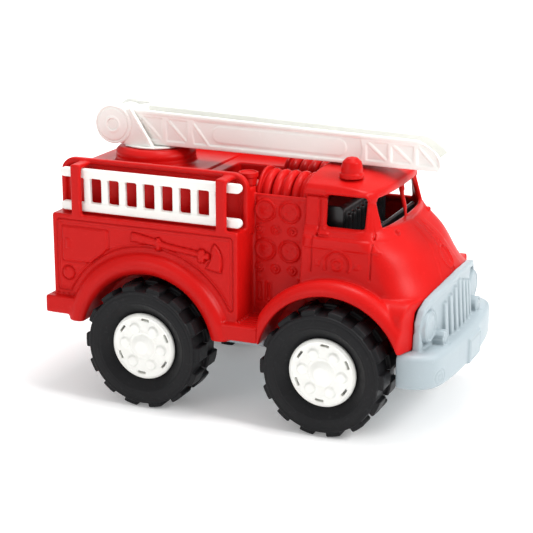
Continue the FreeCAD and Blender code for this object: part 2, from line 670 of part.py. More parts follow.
# ---------------------------------------------------------------- grille and front bumper
def grille_shape(inset):
    """The grille's outline across the truck, shrunk by inset."""
    def draw(sketch):
        half = [("0", f"grille_top_z - {inset}"), ("18", f"grille_top_z - 1.2 - {inset}"),
                ("36", f"grille_top_z - 4 - {inset}"), ("47", f"grille_top_z - 7 - {inset}"),
                (f"grille_side_y - 3.5 - {inset}", f"grille_shoulder_z + 4.5 - {inset} / 2"),
                (f"grille_side_y - {inset}", f"grille_shoulder_z - 3 - {inset} / 2"),
                (f"grille_side_y + 1 - {inset}", "grille_low")]
        mirrored = [(f"-({y})", z) for y, z in reversed(half[1:])]
        outline(sketch, half + mirrored)
    return draw


def grille_bumper():
    def slab(name, inset, rear, front):
        """A bowed plate of the grille's outline between two radii."""
        block = doc.addObject("PartDesign::Body", name + "_block")
        sketch = sketch_on(block, name + "_outline", "YZ_Plane")
        grille_shape(inset)(sketch)
        pad = block.newObject("PartDesign::Pad", name + "_pad")
        pad.Profile = sketch
        bind(pad, Length="nose_x + 20")
        outer = rod(name + "_outer", "z", ("nose_x - nose_radius", "0"), front, "20", "110")
        inner = rod(name + "_inner", "z", ("nose_x - nose_radius", "0"), rear, "19", "111")
        return cut(name, common(name + "_bowed", block, outer), [inner])

    plate = slab("grille_face", "0", "nose_radius + 0.3", "nose_radius + 0.3 + grille_plate")
    rim = slab("grille_edge", "0", "nose_radius + 0.3", "nose_radius + grille_plate + grille_rim")
    well = slab("grille_well", "4", "nose_radius + grille_plate", "nose_radius + 20")
    solids = [plate, cut("grille_frame", rim, [well])]
    bars = []
    for i in range(BARS):
        y = f"{i - (BARS - 1) / 2} * bar_pitch"
        bars.append(box(f"grille_bar_{i}", ("100", "140"),
                        (f"{y} - bar_half_width", f"{y} + bar_half_width"),
                        ("grille_low", f"grille_top_z - 6 - {abs(i - (BARS - 1) / 2)} * 2.6")))
    bar_bow = cone("bar_bow", "z", ("nose_x - nose_radius", "0"),
                   ("nose_radius + grille_plate + 4", "nose_radius + grille_plate + 1"),
                   "grille_low - 1", "grille_top_z")
    bar_back = rod("bar_back", "z", ("nose_x - nose_radius", "0"), "nose_radius + 1", "39", "101")
    solids.append(cut("grille_bars", common("grille_bars_bowed", fuse("bars", bars), bar_bow),
                      [bar_back]))
    for name, side in sides():
        sign = "-" if name == "right" else ""
        solids.append(rod(f"{name}_headlamp", "x", (f"{sign}headlamp_y", "headlamp_z"),
                          "headlamp_radius", "nose_x - 8", "nose_x - 0.2"))
        solids.append(rod(f"{name}_fog_lamp", "x", (f"{sign}fog_y", "fog_z"), "fog_radius",
                          "nose_x - 4", "fog_front"))
    solids.append(bumper_bar())
    whole = fuse("grille_bumper_solids", solids)
    clear = box("cab_side_room", ("0", "nose_x - 14"), ("-80", "80"), ("bumper_top + 0.1", "grille_top_z + 15"))
    post_room = box("nose_room", ("bumper_rear - 10", "chassis_front + 0.3"), ("-46", "46"),
                    ("chassis_low - 6", "bumper_top + 1"))
    nose_room = rod("nose_clearance", "z", ("nose_x - nose_radius", "0"), "nose_radius + 0.15",
                    "bumper_top + 0.1", "grille_top_z + 5")
    node("grille_bumper", cut("grille_bumper_cut", whole, [clear, post_room, nose_room]))


def bumper_bar():
    """A deep bowed bar with round ends and a plate on its middle, padded to its height."""
    solid = doc.addObject("Part::Feature", "bumper_bar_solid")
    low, high = value("bumper_low"), value("bumper_top")
    rear, front, half = value("bumper_rear"), value("bumper_front"), value("bumper_half")
    # How far each point of the bow lies behind the front and inside the half width.
    bow_points = ((front - rear, 0.5), (21, 0), (13.4, 2.3), (7.4, 7.5), (3.8, 18), (1.7, 34),
                  (0.5, 52))
    quarter = [Vector(front - back, inside - half, low) for back, inside in bow_points]
    mirrored = [Vector(p.x, -p.y, low) for p in reversed(quarter)]
    bow = Part.BSplineCurve()
    bow.interpolate(quarter + [Vector(front, 0, low)] + mirrored)
    back = Part.LineSegment(mirrored[-1], quarter[0])
    face = Part.Face(Part.Wire([bow.toShape(), back.toShape()]))
    solid.Shape = face.extrude(Vector(0, 0, high - low))
    soft = rounded("bumper_bar", solid, "3.6", lambda e: e.Curve.TypeId == "Part::GeomBSplineCurve"
                   and e.BoundBox.ZLength < 0.1)
    plate = box("number_plate", ("bumper_front - 5", "bumper_front + plate_proud"),
                ("-plate_half", "plate_half"), ("bumper_low + 1.5", "bumper_top - 3.5"))
    front_x = value("bumper_front + plate_proud")
    plate_soft = rounded("number_plate_soft", plate, "1", lambda e: e.CenterOfMass.x > front_x - 0.1)
    return fuse("bumper_whole", [soft, plate_soft])


grille_bumper()


# ---------------------------------------------------------------- roof light, cap, reels
def beacon():
    height = "(beacon_top - beacon_z)"
    body = turned("beacon_body", [
        ("0", "0"), ("beacon_flange", "0"), ("beacon_flange", "2.6"), ("beacon_radius", "3.4"),
        ("beacon_radius", f"{height} - beacon_radius"), ("beacon_radius * 0.87", f"{height} - 3.1"),
        ("beacon_radius * 0.5", f"{height} - 0.83"), ("0", height),
    ])
    place(body, x="beacon_x", y="beacon_y", z="beacon_z")
    node("beacon_light", body)


def deck_cap():
    body = turned("cap_body", [
        ("0", "0"), ("cap_radius - 1", "0"), ("cap_radius - 1", "cap_top - deck_z - 3"),
        ("cap_radius", "cap_top - deck_z - 3"), ("cap_radius", "cap_top - deck_z"),
        ("cap_radius - 1.4", "cap_top - deck_z"), ("cap_radius - 1.4", "cap_top - deck_z - 0.8"),
        ("0", "cap_top - deck_z - 0.8"),
    ])
    place(body, x="cap_x", y="cap_y", z="deck_z")
    node("deck_cap", body)


def hose_reel(name, side):
    """A drum with a flange at its rear end and five turns of moulded hose."""
    y = f"{side} * reel_y"
    solids = [
        rod(name + "_drum", "x", (y, "reel_z"), "reel_drum", "reel_rear", "reel_front"),
        rod(name + "_flange", "x", (y, "reel_z"), "reel_flange", "reel_rear - flange_plate",
            "reel_rear"),
    ]
    pitch = "((reel_front - reel_rear) / 5)"
    for i in range(COILS):
        solids.append(ring(f"{name}_coil_{i}", "x", (y, "reel_z"), "coil_turn", "coil_radius",
                           f"reel_rear + ({i} + 0.5) * {pitch}"))
    node(name, fuse(name + "_whole", solids))


beacon()
deck_cap()
hose_reel("right_hose_reel", -1)
hose_reel("left_hose_reel", 1)


# ---------------------------------------------------------------- turntable and boom
def turntable():
    solids = [
        rod("turntable_disc", "z", ("turret_x", "0"), "disc_radius", "ring_top + 0.3", "disc_top"),
        rod("turntable_stem", "z", ("turret_x", "0"), "stem_radius", "deck_z - 14.4",
            "disc_top - 1"),
    ]
    for name, side in sides():
        def draw(sketch):
            outline(sketch, [("pivot_x + 3", "pivot_z + 11.6"), ("pivot_x + 13.2", "pivot_z + 11.6"),
                             ("pivot_x + 30", "disc_top - 1"), ("pivot_x + 9", "disc_top - 1"),
                             ("pivot_x - 4", "pivot_z - 8")])
        web = padded(f"{name}_ear_web", "XZ_Plane", draw, "ear_plate")
        sign = -1 if name == "right" else 1
        place(web, y=f"{sign} * (ear_outer_y - ear_plate / 2)")
        solids.append(web)
        solids.append(rod(f"{name}_ear_disc", "y", ("pivot_x", "pivot_z"), "ear_radius",
                          *side("ear_outer_y - ear_plate", "ear_outer_y")))
    holes = [
        rod("ear_bore", "y", ("pivot_x", "pivot_z"), "pin_radius + press_gap", "-ear_outer_y - 1",
            "ear_outer_y + 1"),
        rod("stem_pilot", "z", ("turret_x", "0"), "screw_radius + press_gap", "deck_z - 15",
            "deck_z - 3"),
    ]
    node("turntable", cut("turntable_cut", fuse("turntable_solids", solids), holes))
    low = "deck_z - 14.4"
    plate = rod("retainer_plate", "z", ("turret_x", "0"), "stem_radius + 4", f"{low} - 2", low)
    hole = rod("retainer_hole", "z", ("turret_x", "0"), "screw_radius + press_gap", f"{low} - 3",
               f"{low} + 1")
    node("turntable_retainer", cut("retainer_cut", plate, [hole]))
    head = rod("retainer_screw_head", "z", ("turret_x", "0"), "screw_head_radius",
               f"{low} - 2 - screw_head", f"{low} - 2")
    shank = rod("retainer_screw_shank", "z", ("turret_x", "0"), "screw_radius", f"{low} - 2.5",
                f"{low} + 8")
    node("turntable_screw", fuse("retainer_screw", [head, shank]))
    node("boom_pivot_pin", rod("pivot_pin", "y", ("pivot_x", "pivot_z"), "pin_radius",
                               "-ear_outer_y + 0.4", "ear_outer_y - 0.4"))


def boom():
    """A level channel with a rounded tip, cross rungs, and an eye between the turntable's ears."""
    def side_shape(sketch):
        outline(sketch, [
            ("boom_rear", "boom_rear_low"), ("boom_front - 3.6", "boom_front_low"),
            ("boom_front - 1.2", "boom_front_low + 3.4"), ("boom_front - 1.9", "boom_front_low + 7"),
            ("boom_front - 5.6", "boom_front_low + 11.6"),
            ("boom_front - 11.8", "boom_front_low + 15.8"),
            ("boom_front - tip_length", "boom_front_top"), ("boom_rear", "boom_rear_top")])

    def channel_shape(sketch):
        outline(sketch, [
            ("boom_rear + boom_wall", "boom_rear_low + boom_floor"),
            ("boom_front - tip_low_back - boom_wall", "boom_front_low + boom_floor"),
            ("boom_front - 1.6 * boom_wall", "tip_mid_z"), ("boom_front - boom_wall * 2", "190"),
            ("boom_rear + boom_wall", "190")])

    def neck_shape(sketch):
        outline(sketch, [("boom_rear + 1", "boom_rear_low"), ("boom_rear + 1", "boom_rear_top"),
                         ("pivot_x + 5", "pivot_z + eye_radius - 1.2"),
                         ("pivot_x", "pivot_z - eye_radius")])
    block = padded("boom_block", "XZ_Plane", side_shape, "2 * boom_half")
    taper = doc.addObject("Part::Feature", "boom_taper")
    x_low, x_high = value("boom_rear") - 1, value("boom_front") + 1
    wide, slim = value("boom_half"), value("boom_tip_half")
    plan = [Vector(x_low, -wide, 100), Vector(x_high, -slim, 100), Vector(x_high, slim, 100),
            Vector(x_low, wide, 100)]
    taper.Shape = Part.Face(Part.makePolygon(plan + plan[:1])).extrude(Vector(0, 0, 100))
    outer = common("boom_outer", block, taper)
    channel = padded("boom_channel", "XZ_Plane", channel_shape, "2 * (boom_tip_half - boom_wall)")
    rungs = []
    for i in range(11):
        rungs.append(rod(f"boom_rung_{i}", "y", (f"boom_rear + 14 + {i} * rung_pitch",
                                                 "boom_front_low + 8"), "rung_radius",
                         "-boom_tip_half + 1", "boom_tip_half - 1"))
    neck = padded("boom_neck", "XZ_Plane", neck_shape, "2 * boom_half")
    eye = rod("boom_eye", "y", ("pivot_x", "pivot_z"), "eye_radius", "-boom_half", "boom_half")
    bore = rod("boom_bore", "y", ("pivot_x", "pivot_z"), "pin_radius + running_gap",
               "-boom_half - 1", "boom_half + 1")
    shell = cut("boom_shell", outer, [channel])
    node("boom_ladder", cut("boom_cut", fuse("boom_solids", [shell, neck, eye] + rungs), [bore]))


turntable()
boom()


# ---------------------------------------------------------------- side ladders
def side_ladder(name, side):
    """Two rails with round ends and eight flat rungs."""
    span = side("ladder_inner_y", "ladder_inner_y + ladder_plate")
    rails = []
    for label, low in (("low", "ladder_low"), ("high", "ladder_high - ladder_rail")):
        rail = box(f"{name}_{label}_rail", ("ladder_rear", "ladder_front"), span,
                   (low, f"{low} + ladder_rail"))
        rails.append(rounded(f"{name}_{label}_soft", rail, "ladder_rail / 2 - 0.1",
                             lambda e: parallel(e, Vector(0, 1, 0))))
    for i in range(RUNGS):
        x = f"first_rung_x + {i} * rung_step"
        rails.append(box(f"{name}_rung_{i}", (f"{x} - rung_width / 2", f"{x} + rung_width / 2"),
                         side("ladder_inner_y + 0.6", "ladder_inner_y + ladder_plate - 0.6"),
                         ("ladder_low + 2", "ladder_high - 2")))
    node(name, fuse(name + "_whole", rails))


for side_name, side in sides():
    side_ladder(f"{side_name}_side_ladder", side)


# ---------------------------------------------------------------- check and write
doc.recompute()
for thing in doc.Objects:
    if "Invalid" in thing.State or "Error" in thing.State:
        raise RuntimeError(f"{thing.Name} failed: {thing.State}")
os.makedirs("parts", exist_ok=True)
for label, solid in NODES.items():
    shape = solid.Shape
    if shape.isNull() or not shape.isValid() or not shape.Solids:
        raise RuntimeError(f"{label} has no valid solid")
    print(f"{label}: {shape.Volume / 1000:.2f} cm3, {len(shape.Solids)} solid(s), "
          f"{len(shape.Faces)} faces")
    shape.exportStep(f"parts/{label}.step")
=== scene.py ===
# Looks for the toy fire engine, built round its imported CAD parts. Sizes here are in
# millimetres unless a name says otherwise; Blender's own objects are in metres.
# +X is the truck's front, +Y its left side, +Z up.
import json
import math

import bpy
import numpy as np
import openvdb
from mathutils import Matrix, Vector


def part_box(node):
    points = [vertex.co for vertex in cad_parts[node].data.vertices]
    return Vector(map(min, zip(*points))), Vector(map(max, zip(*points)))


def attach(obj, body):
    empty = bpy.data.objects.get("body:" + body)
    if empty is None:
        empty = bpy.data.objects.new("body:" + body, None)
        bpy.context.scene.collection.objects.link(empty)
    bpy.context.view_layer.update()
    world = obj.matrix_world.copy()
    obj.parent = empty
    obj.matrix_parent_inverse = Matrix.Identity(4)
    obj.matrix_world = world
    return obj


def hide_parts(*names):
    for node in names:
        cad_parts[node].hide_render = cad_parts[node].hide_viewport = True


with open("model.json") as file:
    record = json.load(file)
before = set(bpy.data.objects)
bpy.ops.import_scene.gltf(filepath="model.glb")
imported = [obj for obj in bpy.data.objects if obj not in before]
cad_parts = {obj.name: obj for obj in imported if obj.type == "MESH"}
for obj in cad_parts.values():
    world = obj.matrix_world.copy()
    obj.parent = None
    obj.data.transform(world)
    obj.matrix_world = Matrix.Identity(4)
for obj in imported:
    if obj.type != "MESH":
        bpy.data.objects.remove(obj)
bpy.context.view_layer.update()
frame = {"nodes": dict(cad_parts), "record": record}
MM = 0.001
scene = bpy.context.scene


# ---------------------------------------------------------------- materials
GRAIN_SCALE = 900.0


def plastic(name, colour, rough, bump, gloss, wear=0.35, pale=None):
    """Moulded plastic: a slightly uneven colour, satin grain, soft swirl and rubbed patches."""
    material = bpy.data.materials.new(name)
    material.use_nodes = True
    nodes, links = material.node_tree.nodes, material.node_tree.links
    shader = nodes["Principled BSDF"]
    place = nodes.new("ShaderNodeTexCoord")

    def noise(scale, detail, roughness=0.5):
        node = nodes.new("ShaderNodeTexNoise")
        node.inputs["Scale"].default_value = scale
        node.inputs["Detail"].default_value = detail
        node.inputs["Roughness"].default_value = roughness
        links.new(place.outputs["Object"], node.inputs["Vector"])
        return node.outputs["Fac"]

    def remap(fac, low, high, out_low, out_high):
        node = nodes.new("ShaderNodeMapRange")
        node.inputs["From Min"].default_value = low
        node.inputs["From Max"].default_value = high
        node.inputs["To Min"].default_value = out_low
        node.inputs["To Max"].default_value = out_high
        links.new(fac, node.inputs["Value"])
        return node.outputs["Result"]

    def mix(fac, a, b):
        node = nodes.new("ShaderNodeMix")
        node.data_type = "RGBA"
        links.new(fac, node.inputs[0])
        for socket, colour_in in ((node.inputs[6], a), (node.inputs[7], b)):
            if isinstance(colour_in, tuple):
                socket.default_value = (*colour_in, 1)
            else:
                links.new(colour_in, socket)
        return node.outputs[2]

    pale = pale or tuple(min(1, c * 1.12 + 0.01) for c in colour)
    deep = tuple(c * 0.93 for c in colour)
    swirl = remap(noise(16, 3), 0.3, 0.7, 0, 1)
    body = mix(swirl, deep, colour)
    speck = remap(noise(420, 2), 0.62, 0.75, 0, wear)
    links.new(mix(speck, body, pale), shader.inputs["Base Color"])
    patch = remap(noise(35, 4, 0.6), 0.3, 0.7, rough - 0.05, rough + 0.06)
    links.new(patch, shader.inputs["Roughness"])
    fine = nodes.new("ShaderNodeBump")
    fine.inputs["Strength"].default_value = bump
    fine.inputs["Distance"].default_value = 0.0004
    links.new(noise(GRAIN_SCALE, 2), fine.inputs["Height"])
    broad = nodes.new("ShaderNodeBump")
    broad.inputs["Strength"].default_value = 0.12
    broad.inputs["Distance"].default_value = 0.0006
    links.new(noise(55, 2), broad.inputs["Height"])
    links.new(fine.outputs["Normal"], broad.inputs["Normal"])
    links.new(broad.outputs["Normal"], shader.inputs["Normal"])
    shader.inputs["Specular IOR Level"].default_value = gloss
    return material


RED = plastic("red_plastic", (0.55, 0.006, 0.005), rough=0.36, bump=0.14, gloss=0.13)
WHITE = plastic("white_plastic", (0.90, 0.90, 0.86), rough=0.42, bump=0.12, wear=0.15, gloss=0.35)
GREY = plastic("grey_plastic", (0.36, 0.42, 0.45), rough=0.42, bump=0.14, wear=0.25, gloss=0.3)
TYRE = plastic("tyre_black", (0.009, 0.009, 0.010), rough=0.46, bump=0.22, wear=0.3, gloss=0.16,
               pale=(0.03, 0.03, 0.032))
BLACK = plastic("black_plastic", (0.010, 0.010, 0.011), rough=0.30, bump=0.10, wear=0.25, gloss=0.45,
                pale=(0.03, 0.03, 0.032))


def steel(name):
    """Zinc plated steel with fine drawing marks."""
    material = bpy.data.materials.new(name)
    material.use_nodes = True
    nodes, links = material.node_tree.nodes, material.node_tree.links
    shader = nodes["Principled BSDF"]
    shader.inputs["Metallic"].default_value = 1
    marks = nodes.new("ShaderNodeTexNoise")
    marks.inputs["Scale"].default_value = 1500
    colours = nodes.new("ShaderNodeValToRGB")
    colours.color_ramp.elements[0].color = (0.42, 0.43, 0.45, 1)
    colours.color_ramp.elements[1].color = (0.62, 0.63, 0.65, 1)
    place = nodes.new("ShaderNodeTexCoord")
    links.new(place.outputs["Object"], marks.inputs["Vector"])
    links.new(marks.outputs["Fac"], colours.inputs["Fac"])
    links.new(colours.outputs["Color"], shader.inputs["Base Color"])
    rough = nodes.new("ShaderNodeMapRange")
    rough.inputs["To Min"].default_value = 0.25
    rough.inputs["To Max"].default_value = 0.45
    links.new(marks.outputs["Fac"], rough.inputs["Value"])
    links.new(rough.outputs["Result"], shader.inputs["Roughness"])
    return material


STEEL = steel("steel_screw")
MATERIALS = {"red_plastic": RED, "white_plastic": WHITE, "grey_plastic": GREY,
             "tyre_black": TYRE, "black_plastic": BLACK, "steel_screw": STEEL}
SLOTS = {part["node"]: part["material_slot"] for part in frame["record"]["subparts"]}
BODIES = {node: body for body, nodes in frame["record"]["behaviour"]["bodies"].items()
          for node in nodes}


# ---------------------------------------------------------------- moulded solids
BAND = 7                    # grid steps of distance kept on each side of a surface
MIRROR_PAD = 4              # grid steps kept past the middle of a half moulding


def soft_min(a, b, k):
    """Union of two distance fields with a fillet."""
    h = np.maximum(k - np.abs(a - b), 0) / k
    return np.minimum(a, b) - h * h * k * 0.25


def soft_max(a, b, k):
    return -soft_min(-a, -b, k)


def line(u, v, start, end):
    """Distance to a straight stroke."""
    ax, ay = start
    bx, by = end
    dx, dy = bx - ax, by - ay
    t = np.clip(((u - ax) * dx + (v - ay) * dy) / (dx * dx + dy * dy), 0, 1)
    return np.hypot(u - ax - t * dx, v - ay - t * dy)


def stroke(u, v, points):
    """Distance to a run of straight strokes."""
    return np.minimum.reduce([line(u, v, a, b) for a, b in zip(points, points[1:])])


def polygon(u, v, points):
    """Signed distance to a closed outline, negative inside."""
    edge = stroke(u, v, points + points[:1])
    inside = np.zeros(edge.shape, bool)
    for (ax, ay), (bx, by) in zip(points, points[1:] + points[:1]):
        if ay == by:
            continue
        crosses = (v >= min(ay, by)) & (v < max(ay, by))
        inside ^= crosses & (u < ax + (v - ay) * (bx - ax) / (by - ay))
    return np.where(inside, -edge, edge)


def disc(u, v, centre, radius):
    return np.hypot(u - centre[0], v - centre[1]) - radius


def slab(u, v, low, high, corner=0.0):
    """Signed distance to an upright rectangle between two corners."""
    cu, cv = (low[0] + high[0]) / 2, (low[1] + high[1]) / 2
    du = np.abs(u - cu) - (high[0] - low[0]) / 2 + corner
    dv = np.abs(v - cv) - (high[1] - low[1]) / 2 + corner
    return np.hypot(np.maximum(du, 0), np.maximum(dv, 0)) + np.minimum(np.maximum(du, dv), 0) - corner


def rise(distance, height, edge=0.6):
    """Height of a raised patch with soft edges; distance is negative inside the patch."""
    t = np.clip(0.5 - distance / edge, 0, 1)
    return height * t * t * (3 - 2 * t)


def bead(distance, height, width):
    """Height of a bead, or of a groove if height is negative, along a line."""
    t = np.clip(1 - np.abs(distance) / width, 0, 1)
    return height * t * t * (3 - 2 * t)


def node_arrays(node):
    """A CAD node's points in millimetres and its triangles."""
    mesh = frame["nodes"][node].data
    points = np.empty(len(mesh.vertices) * 3, np.float32)
    mesh.vertices.foreach_get("co", points)
    mesh.calc_loop_triangles()
    triangles = np.empty(len(mesh.loop_triangles) * 3, np.int32)
    mesh.loop_triangles.foreach_get("vertices", triangles)
    return points.reshape(-1, 3) / MM, triangles.reshape(-1, 3).astype(np.uint32)


class Moulding:
    """A CAD node as distances on a regular grid, so that detail blends into it.

    Half mouldings cover the side where |y| grows, and are mirrored when they are meshed.
    """

    def __init__(self, nodes, step, half=None, passes=3, margin=3.0):
        self.step, self.half = step, half
        shift = step / 2 if half else 0
        shapes = [node_arrays(node) for node in nodes.split()]
        for points, _ in shapes:
            if half == "right":
                points[:, 1] *= -1
            points[:, 1] -= shift
        every = np.concatenate([points for points, _ in shapes])
        low = np.floor((every.min(0) - margin) / step).astype(int)
        high = np.ceil((every.max(0) + margin) / step).astype(int)
        if half:
            low[1] = -MIRROR_PAD
        self.low = low
        for points, triangles in shapes:
            grid = openvdb.FloatGrid.createLevelSetFromPolygons(
                np.ascontiguousarray(points, np.float32), triangles=triangles,
                transform=openvdb.createLinearTransform(voxelSize=step), halfWidth=float(BAND))
            part = np.full(high - low + 1, BAND * step, np.float32)
            grid.copyToArray(part, ijk=tuple(int(i) for i in low))
            self.d = soft_min(self.d, part, 2 * step) if hasattr(self, "d") else part
        axes = [(low[i] + np.arange(self.d.shape[i])) * step for i in range(3)]
        axes[1] = axes[1] + shift
        self.x, self.y, self.z = np.ix_(*[a.astype(np.float32) for a in axes])
        self.soften(passes)

    def soften(self, passes):
        """Round every edge a little, as moulded plastic is."""
        for _ in range(passes):
            for axis in range(3):
                a = np.moveaxis(self.d, axis, 0)
                middle = (a[:-2] + a[2:]) * 0.25 + a[1:-1] * 0.5
                a[1:-1] = middle

    def window(self, **limits):
        """The part of the grid inside limits such as x=(low, high)."""
        cut = []
        for axis in "xyz":
            places = getattr(self, axis).ravel()
            low, high = limits.get(axis, (-1e9, 1e9))
            inside = np.nonzero((places >= low) & (places <= high))[0]
            cut.append(slice(inside[0], inside[-1] + 1))
        part = object.__new__(Moulding)
        part.d = self.d[tuple(cut)]
        part.x, part.y, part.z = self.x[cut[0]], self.y[:, cut[1]], self.z[:, :, cut[2]]
        return part

    def add(self, shape, soft=0.8):
        self.d[...] = soft_min(self.d, shape, soft)

    def carve(self, shape, soft=0.8):
        self.d[...] = soft_max(self.d, -shape, soft)

    def emboss(self, height):
        """Push the surface out by height, which may vary over the grid."""
        self.d[...] -= height

    def mesh(self, name, material, adaptivity=0.0):
        """A smooth-shaded mesh of the moulding, in place of its CAD node."""
        field = self.d
        low = self.low.copy()
        if self.half:
            field = field[:, MIRROR_PAD:]
            field = np.concatenate([field[:, ::-1], field], axis=1)
            low[1] = -field.shape[1] // 2
        field = np.ascontiguousarray(field)
        grid = openvdb.FloatGrid(float(field.max()))
        grid.copyFromArray(field)
        points, triangles, quads = grid.convertToPolygons(isovalue=0.0, adaptivity=adaptivity)
        normals = slopes(field, points)
        points = (points + low) * self.step
        if self.half:
            points[:, 1] += self.step / 2
        return solid_mesh(name, points * MM, triangles, quads, normals, material)


def slopes(field, points):
    """Unit gradients of a field at points given in grid steps."""
    out = np.empty(points.shape, np.float32)
    size = np.array(field.shape) - 1
    for axis in range(3):
        ends = []
        for sign in (-1, 1):
            place = points.astype(np.float32).copy()
            place[:, axis] += sign
            place = np.clip(place, 0, size - 1.001)
            base = place.astype(int)
            share = place - base
            total = 0
            for corner in range(8):
                offset = np.array([corner >> 2 & 1, corner >> 1 & 1, corner & 1])
                index = base + offset
                weight = np.prod(np.where(offset, share, 1 - share), axis=1)
                total = total + weight * field[index[:, 0], index[:, 1], index[:, 2]]
            ends.append(total)
        out[:, axis] = ends[1] - ends[0]
    return out / np.maximum(np.linalg.norm(out, axis=1, keepdims=True), 1e-9)


def solid_mesh(name, points, triangles, quads, normals, material):
    """A Blender object from arrays of points and faces."""
    mesh = bpy.data.meshes.new(name)
    triangles, quads = np.asarray(triangles, np.int64), np.asarray(quads, np.int64)
    a = quads if len(quads) else triangles
    first = points[a[: len(a) : max(1, len(a) // 4000)]]
    facing = np.cross(first[:, 1] - first[:, 0], first[:, 2] - first[:, 0])
    towards = normals[a[: len(a) : max(1, len(a) // 4000)]][:, 0]
    if (facing * towards).sum() < 0:
        triangles, quads = triangles[:, ::-1], quads[:, ::-1]
    mesh.vertices.add(len(points))
    mesh.vertices.foreach_set("co", np.ascontiguousarray(points, np.float32).ravel())
    corners = np.concatenate([triangles.ravel(), quads.ravel()])
    mesh.loops.add(len(corners))
    mesh.loops.foreach_set("vertex_index", corners.astype(np.int32))
    counts = np.concatenate([np.full(len(triangles), 3), np.full(len(quads), 4)])
    mesh.polygons.add(len(counts))
    mesh.polygons.foreach_set("loop_start", np.concatenate([[0], counts.cumsum()[:-1]]).astype(np.int32))
    mesh.polygons.foreach_set("use_smooth", np.ones(len(counts), bool))
    mesh.update(calc_edges=True)
    mesh.validate()
    mesh.normals_split_custom_set_from_vertices(normals.astype(float).tolist())
    thing = bpy.data.objects.new(name, mesh)
    scene.collection.objects.link(thing)
    mesh.materials.append(material)
    return thing


def stand_for(thing, node, *also):
    """The piece rides on its CAD node's body and replaces the node."""
    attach(thing, BODIES[node])
    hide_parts(node, *also)


# ---------------------------------------------------------------- rear body
FACE = 65.0                 # side panels
PUMP_FACE = 42.0
FLARE_X, FLARE_Z = -61.2, 40.0
TURRET_X = -87.6


def axe(x, z):
    """Height of the moulded axe: a flared handle, two clips and a fan-shaped head."""
    handle = polygon(x, z, [(-72.6, 104.4), (-72.2, 110.0), (-58, 107.6), (-46, 104.9), (-20, 101.9),
                            (-20, 98.9), (-46, 101.6), (-58, 103.2)])
    head = polygon(x, z, [(-15.4, 108.6), (-12.4, 105.2), (-10.6, 100.4), (-10.4, 95.0),
                          (-11.4, 90.9), (-21.2, 92.6), (-18.6, 96.8), (-17.4, 100.6),
                          (-17.6, 104.4)])
    clip = slab(x, z, (-55.2, 100.3), (-52.4, 108.2), 1.2)
    end_clip = slab(x, z, (-26.2, 96.2), (-21.8, 104.2), 1.6)
    eye = slab(x, z, (-21.6, 98.4), (-18.8, 102.6), 1.0)
    raised = ((handle, 1.0), (head, 1.0), (clip, 1.7), (end_clip, 1.7), (eye, 1.4))
    height = np.maximum.reduce([rise(shape, much, 0.5) for shape, much in raised])
    outline = np.minimum.reduce([shape for shape, _ in raised])
    return height + bead(outline - 0.3, -0.75, 0.8)


def side_panel(x, z):
    """Height of the relief on a side panel."""
    from_wheel = np.hypot(x - FLARE_X, z - FLARE_Z)
    panel = np.maximum(slab(x, z, (-126.2, 66.5), (-3.4, 113.6), 2.0), 61.6 - from_wheel)
    height = bead(panel, -0.8, 0.8) + bead(panel + 1.7, -0.5, 0.6)
    hatch = polygon(x, z, [(-122.0, 109.6), (-90.0, 109.6), (-89.0, 108.6), (-89.0, 97.0),
                           (-101.6, 86.4), (-121.6, 86.4), (-122.6, 87.4), (-122.6, 108.6)])
    latch = slab(x, z, (-119.9, 94.6), (-117.0, 101.6), 0.4)
    cap = disc(x, z, (-118.4, 78.4), 4.6)
    height += rise(hatch, 0.55, 0.8) + bead(hatch, -0.8, 0.9)
    height += rise(latch, 0.6) + bead(latch, -0.5, 0.7) + bead(cap, -0.8, 0.8) + rise(cap + 0.8, 0.5)
    return height + axe(x, z)


def pump_panel(x, z):
    """Height of the relief on the pump panel: four dials, six knobs, two slots and rivets."""
    height = bead(slab(x, z, (2.0, 65.0), (35.2, 136.0), 1.0), -0.35, 0.5)
    for low in (102.7, 127.6):
        for at in (9.0, 25.0):
            dial = disc(x, z, (at, low), 0)
            height += rise(dial - 6.9, 1.1) - rise(dial - 5.8, 1.0) + rise(dial - 3.0, 0.2)
            height += rise(line(x, z, (at - 1.4, low - 1.4), (at + 1.6, low + 1.6)) - 0.35, 0.3, 0.4)
    for low in (90.6, 115.5):
        for at in (4.8, 15.8, 26.8):
            knob = disc(x, z, (at, low), 0)
            height += rise(knob - 2.8, 0.8) - rise(knob - 2.0, 0.5, 0.4) + rise(knob - 1.3, 1.2)
    for at in (5.4, 11.0):
        height += rise(slab(x, z, (at - 1.5, 69.5), (at + 1.5, 82.0), 0.7), 0.7)
        height -= rise(slab(x, z, (at - 0.8, 70.6), (at + 0.8, 80.9), 0.4), 0.9)
    for at in ((3.8, 133.6), (31.0, 134.0), (3.8, 109.6), (31.0, 109.6), (31.0, 85.6), (3.8, 85.6)):
        height += rise(disc(x, z, at, 0.9), 0.5)
    return height


